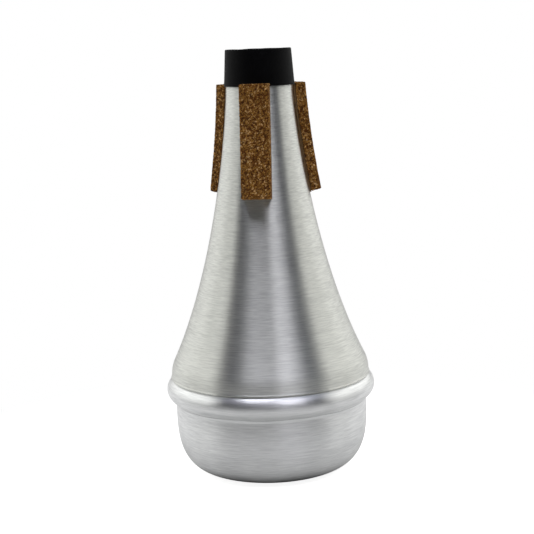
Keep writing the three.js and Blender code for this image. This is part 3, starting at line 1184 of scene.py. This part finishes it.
@dataclass
class Studio:
    """White table, light tent, overhead softbox and camera.

    Distances are in metres, angles in degrees. The camera was fitted to the photograph.
    """

    camera_azimuth: float = 7.6
    camera_distance: float = 0.5347
    camera_height: float = 0.1657
    pitch: float = 9.236
    yaw: float = 0.03
    roll: float = -2.2
    focal_pixels: float = 1411.0
    image_pixels: float = 534.0
    sensor_mm: float = 36.0
    centre_height: float = 0.08
    softbox_across: tuple[float, float] = (-0.40, 0.06)
    softbox_deep: tuple[float, float] = (0.20, 0.41)
    softbox_height: float = 1.0
    softbox_tone: tuple[float, float, float] = (6.9, 6.85, 7.8)
    table_fill: float = 0.9

    # What the metal mirrors of the table, a painted pool of light with a painted shadow: metres from
    # the axis, and the strength there. Near its foot the table is painted dark for the mute's shade,
    # and towards the camera it falls off to the dim front of the tent.
    pool_before: Stops = (
        (0.0295, 0.0), (0.0345, 0.5), (0.037, 0.58), (0.05, 0.6), (0.07, 0.98), (0.115, 1.0),
        (0.15, 0.42), (0.24, 0.22), (0.4, 0.03),
    )
    pool_behind: Stops = (
        (0.0295, 0.05), (0.0345, 0.42), (0.037, 0.56), (0.05, 0.6), (0.07, 0.8), (0.115, 0.92),
        (0.2, 1.0), (1.0, 1.0),
    )
    cards: tuple[Card, ...] = (
        Card("side_left", CardShape.CURVED, (-166.0, -62.0), (-2.0, 58.0), (9.0, 12.0), (1.53, 1.535, 1.5)),
        Card("side_right", CardShape.CURVED, (64.0, 166.0), (-2.0, 58.0), (9.0, 12.0), (1.54, 1.54, 1.5)),
        Card("ceiling", CardShape.OVERHEAD, (-0.40, 0.08), (-0.12, 0.20), (0.01, 0.04), (3.24, 3.28, 3.39), 1.0),
        Card("spill_left", CardShape.OVERHEAD, (-0.92, -0.43), (-0.1, 0.65), (0.05, 0.05), (0.3, 0.3, 0.4), 1.0),
        Card("spill_right", CardShape.OVERHEAD, (0.08, 0.92), (-0.1, 0.39), (0.04, 0.05), (0.45, 0.5, 0.65), 1.0),
        Card("canopy_right", CardShape.OVERHEAD, (0.09, 0.79), (0.37, 1.35), (0.11, 0.09), (3.7, 3.66, 4.0), 1.0),
        Card("dim_ceiling", CardShape.OVERHEAD, (-3.0, 3.0), (-3.0, 3.0), (0.01, 0.01), (0.02, 0.02, 0.022), 1.3),
        Card("dim_front", CardShape.CURVED, (-100.0, 100.0), (-2.0, 60.0), (0.5, 0.5), (0.01, 0.01, 0.01), 1.7),
    )

    def turned(self, vector: Vector) -> Vector:
        """Turn a vector from the camera's frame to the row frame."""
        return Matrix.Rotation(math.radians(self.camera_azimuth), 3, "Z") @ vector

    def on_sphere(self, azimuth: float, elevation: float, distance: float) -> Vector:
        """Point round the mute.

        Args:
            azimuth: degrees to the right of the camera's side.
            elevation: degrees above the table.
            distance: metres from the axis.

        Returns:
            The point in the row frame.
        """
        a, e = math.radians(azimuth), math.radians(elevation)
        flat = Vector((math.sin(a) * math.cos(e), -math.cos(a) * math.cos(e), math.sin(e)))
        return self.turned(flat) * distance + Vector((0, 0, self.centre_height))

    def add_camera(self) -> bpy.types.Object:
        """Place the camera as the photograph's view was fitted.

        Returns:
            The camera.
        """
        pitch, yaw, roll = (math.radians(v) for v in (self.pitch, self.yaw, self.roll))
        ahead = Vector((math.sin(yaw) * math.cos(pitch), math.cos(yaw) * math.cos(pitch), -math.sin(pitch)))
        right = ahead.cross(Vector((0, 0, 1))).normalized()
        up = right.cross(ahead)
        right_rolled = right * math.cos(roll) + up * math.sin(roll)
        up_rolled = up * math.cos(roll) - right * math.sin(roll)
        axes = [self.turned(v) for v in (right_rolled, up_rolled, -ahead)]
        place = self.turned(Vector((0, -self.camera_distance, self.camera_height)))
        data = bpy.data.cameras.new("camera")
        data.sensor_width = self.sensor_mm
        data.lens = self.sensor_mm * self.focal_pixels / self.image_pixels
        data.clip_end = 60.0  # metres: past the table's far edge
        camera = bpy.data.objects.new("camera", data)
        camera.matrix_world = Matrix([[*(axis[i] for axis in axes), place[i]] for i in range(3)] + [[0, 0, 0, 1]])
        bpy.context.scene.collection.objects.link(camera)
        bpy.context.scene.camera = camera
        return camera

    def add_card(self, card: Card) -> bpy.types.Object:
        """Build one card of the tent.

        Args:
            card: where it stands and how bright it is.

        Returns:
            The card.
        """
        steps = 40
        shares = np.linspace(0, 1, steps + 1)
        across = card.first[0] + (card.first[1] - card.first[0]) * shares
        along = card.second[0] + (card.second[1] - card.second[0]) * shares
        if card.shape is CardShape.CURVED:
            points = [self.on_sphere(a, b, card.distance) for a in across for b in along]
        else:
            lift = Vector((0, 0, self.centre_height + card.distance))
            points = [self.turned(Vector((a, -b, 0))) + lift for a in across for b in along]
        soft = [np.clip(np.minimum(line - span[0], span[1] - line) / fade, 0, 1)
                for line, span, fade in ((across, card.first, card.fade[0]), (along, card.second, card.fade[1]))]
        row = steps + 1
        faces = [(i * row + j, i * row + j + 1, (i + 1) * row + j + 1, (i + 1) * row + j)
                 for i in range(steps) for j in range(steps)]
        obj = mesh_object(card.name, np.array(points) / MM, faces, {GLOW: np.outer(*soft).ravel()})
        material, tree = new_material(card.name)
        level = max(card.tone)
        share = add_node(tree, "ShaderNodeAttribute", {"attribute_name": GLOW})
        strength = add_node(tree, "ShaderNodeMath", {"operation": "MULTIPLY", 1: level}, {0: share.outputs["Fac"]})
        colour = (*(c / level for c in card.tone), 1.0)
        light = add_node(tree, "ShaderNodeEmission", {"Color": colour}, {"Strength": strength.outputs[0]})
        add_node(tree, "ShaderNodeOutputMaterial", None, {"Surface": light.outputs[0]})
        obj.data.materials.append(material)
        obj.visible_camera = False
        return obj

    def add_softbox(self) -> bpy.types.Object:
        """Hang the softbox over and in front of the mute.

        Returns:
            The light.
        """
        wide = self.softbox_across[1] - self.softbox_across[0]
        deep = self.softbox_deep[1] - self.softbox_deep[0]
        level = max(self.softbox_tone)
        data = bpy.data.lights.new("softbox", "AREA")
        data.shape, data.size, data.size_y = "RECTANGLE", wide, deep
        data.energy = level * math.pi * wide * deep
        data.color = [c / level for c in self.softbox_tone]
        light = bpy.data.objects.new("softbox", data)
        middle = Vector((sum(self.softbox_across) / 2, -sum(self.softbox_deep) / 2, 0))
        lift = Vector((0, 0, self.centre_height + self.softbox_height))
        light.matrix_world = Matrix.Translation(self.turned(middle) + lift) @ Matrix.Rotation(
            math.radians(self.camera_azimuth), 4, "Z")
        bpy.context.scene.collection.objects.link(light)
        return light

    def add_table(self) -> bpy.types.Object:
        """Lay the pale table: white to the camera, with the mute's shadow; to reflections, a painted pool of light with
        a painted shadow.

        Returns:
            The table.
        """
        reach = 40000.0  # mm
        corners = np.array([(-reach, -reach, 0), (reach, -reach, 0), (reach, reach, 0), (-reach, reach, 0)])
        table = mesh_object("table", corners, [(0, 1, 2, 3)], {})
        material, tree = new_material("pale_table")
        rays = add_node(tree, "ShaderNodeLightPath")
        place = add_node(tree, "ShaderNodeNewGeometry")
        away = add_node(tree, "ShaderNodeVectorMath", {"operation": "LENGTH"}, {0: place.outputs["Position"]})
        grain = add_node(tree, "ShaderNodeTexNoise", {"Scale": 400.0}, {"Vector": place.outputs["Position"]})
        tone = add_node(tree, "ShaderNodeMix", {"data_type": "RGBA", 6: linear("#E4E4E2"), 7: linear("#E8E8E6")},
                        {0: grain.outputs[0]})
        matt = add_node(tree, "ShaderNodeBsdfDiffuse", None, {"Color": tone.outputs[2]})

        # Near the mute the table keeps its shadow; from 5 to 16 cm out it turns plain white.
        far = add_node(tree, "ShaderNodeMapRange",
                       {"interpolation_type": "SMOOTHSTEP", "From Min": 0.05, "From Max": 0.16},
                       {"Value": away.outputs["Value"]})
        fill = add_node(tree, "ShaderNodeEmission", {"Strength": self.table_fill})
        lit = add_node(tree, "ShaderNodeAddShader", None, {0: matt.outputs[0], 1: fill.outputs[0]})
        white = add_node(tree, "ShaderNodeEmission", {"Strength": 1.0})
        looked_at = add_node(tree, "ShaderNodeMixShader", None,
                             {0: far.outputs[0], 1: lit.outputs[0], 2: white.outputs[0]})

        behind = add_node(tree, "ShaderNodeVectorMath", {"operation": "NORMALIZE"}, {0: place.outputs["Position"]})
        behind = add_node(tree, "ShaderNodeVectorMath",
                          {"operation": "DOT_PRODUCT", 1: self.turned(Vector((0, 1, 0)))},
                          {0: behind.outputs[0]})
        behind = add_node(tree, "ShaderNodeMapRange", {"From Min": 0.0, "From Max": 0.35},
                          {"Value": behind.outputs["Value"]})
        # Painted pool of light and painted shadow of the mute, seen only in reflections.
        pools = [add_ramp(tree, [(radius, gray(level)) for radius, level in stops], away.outputs["Value"])
                 for stops in (self.pool_before, self.pool_behind)]
        pool = add_node(tree, "ShaderNodeMix", {"data_type": "RGBA"}, {0: behind.outputs[0], 6: pools[0], 7: pools[1]})
        mirrored = add_node(tree, "ShaderNodeEmission", {"Strength": 1.0}, {"Color": pool.outputs[2]})

        shown = add_node(tree, "ShaderNodeMixShader", None,
                         {0: rays.outputs["Is Camera Ray"], 1: matt.outputs[0], 2: looked_at.outputs[0]})
        seen = add_node(tree, "ShaderNodeMath", {"operation": "MAXIMUM"},
                        {0: rays.outputs["Is Glossy Ray"], 1: rays.outputs["Is Transmission Ray"]})
        shown = add_node(tree, "ShaderNodeMixShader", None,
                         {0: seen.outputs[0], 1: shown.outputs[0], 2: mirrored.outputs[0]})
        add_node(tree, "ShaderNodeOutputMaterial", None, {"Surface": shown.outputs[0]})
        table.data.materials.append(material)
        return table

    def add_world(self) -> None:
        """White background to the eye and to reflections, plain soft light to the rest."""
        world = bpy.data.worlds.new("studio")
        bpy.context.scene.world = world
        world.use_nodes = True
        tree = world.node_tree
        tree.nodes.clear()
        rays = add_node(tree, "ShaderNodeLightPath")
        seen = add_node(tree, "ShaderNodeMath", {"operation": "MAXIMUM"},
                        {0: rays.outputs["Is Camera Ray"], 1: rays.outputs["Is Glossy Ray"]})
        seen = add_node(tree, "ShaderNodeMath", {"operation": "MAXIMUM"},
                        {0: seen.outputs[0], 1: rays.outputs["Is Transmission Ray"]})
        soft = add_node(tree, "ShaderNodeBackground", {"Color": linear("#F2F3F5"), "Strength": 0.6})
        white = add_node(tree, "ShaderNodeBackground", {"Strength": 1.0, "Color": (1.0, 1.0, 1.0, 1.0)})
        mixed = add_node(tree, "ShaderNodeMixShader", None,
                         {0: seen.outputs[0], 1: soft.outputs[0], 2: white.outputs[0]})
        add_node(tree, "ShaderNodeOutputWorld", None, {"Surface": mixed.outputs[0]})

    def build(self) -> None:
        """Set the whole studio up."""
        bpy.context.scene.view_settings.view_transform = "Standard"
        self.add_camera()
        self.add_world()
        self.add_table()
        for card in self.cards:
            self.add_card(card)
        self.add_softbox()


def main() -> None:
    """Load the frame, build every piece in order and note the faces of each."""
    logging.basicConfig(level=logging.INFO, format="%(name)s: %(message)s")
    noise.seed_set(NOISE_SEED)
    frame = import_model()
    sizes = MuteSizes()
    curve = ConeCurve(sizes)
    cone_metal = SpunAluminium("spun_cone_aluminium", 0.436, 1.0, sizes.tool_rings).material()
    bowl_metal = SpunAluminium("spun_bowl_aluminium", 0.38, 0.86, (sizes.score_height,), 0.4,
                               bright="#EBECEC", dull="#C8C9CA").material()
    vinyl = BlackVinyl().material()
    cork = GroundCork().material()
    adhesive = DriedAdhesive().material()

    cone = ConeShell(sizes, curve, cone_metal)
    neck = np.vstack([curve.controls[-1], cone.neck()])
    pieces = [
        cone,
        BottomBowl(sizes, bowl_metal),
        NeckSleeve(sizes, neck, vinyl),
        CorkStrip(sizes, curve, cork, "front", 0.0, 2.0),
        CorkStrip(sizes, curve, cork, "right", math.radians(120), 31.0, 0.5, 0.3),
        CorkStrip(sizes, curve, cork, "left", math.radians(240), 57.0, 0.5, 0.3),
    ]
    for piece in pieces:
        obj = piece.build()
        LOG.info("%s: %d faces", obj.name, len(obj.data.polygons))
    for name, node in frame["nodes"].items():
        if name.startswith("cork_film"):
            node.data.materials.clear()
            node.data.materials.append(adhesive)
            LOG.info("%s: dressed", name)

    Studio().build()


if __name__ == "__main__":
    main()
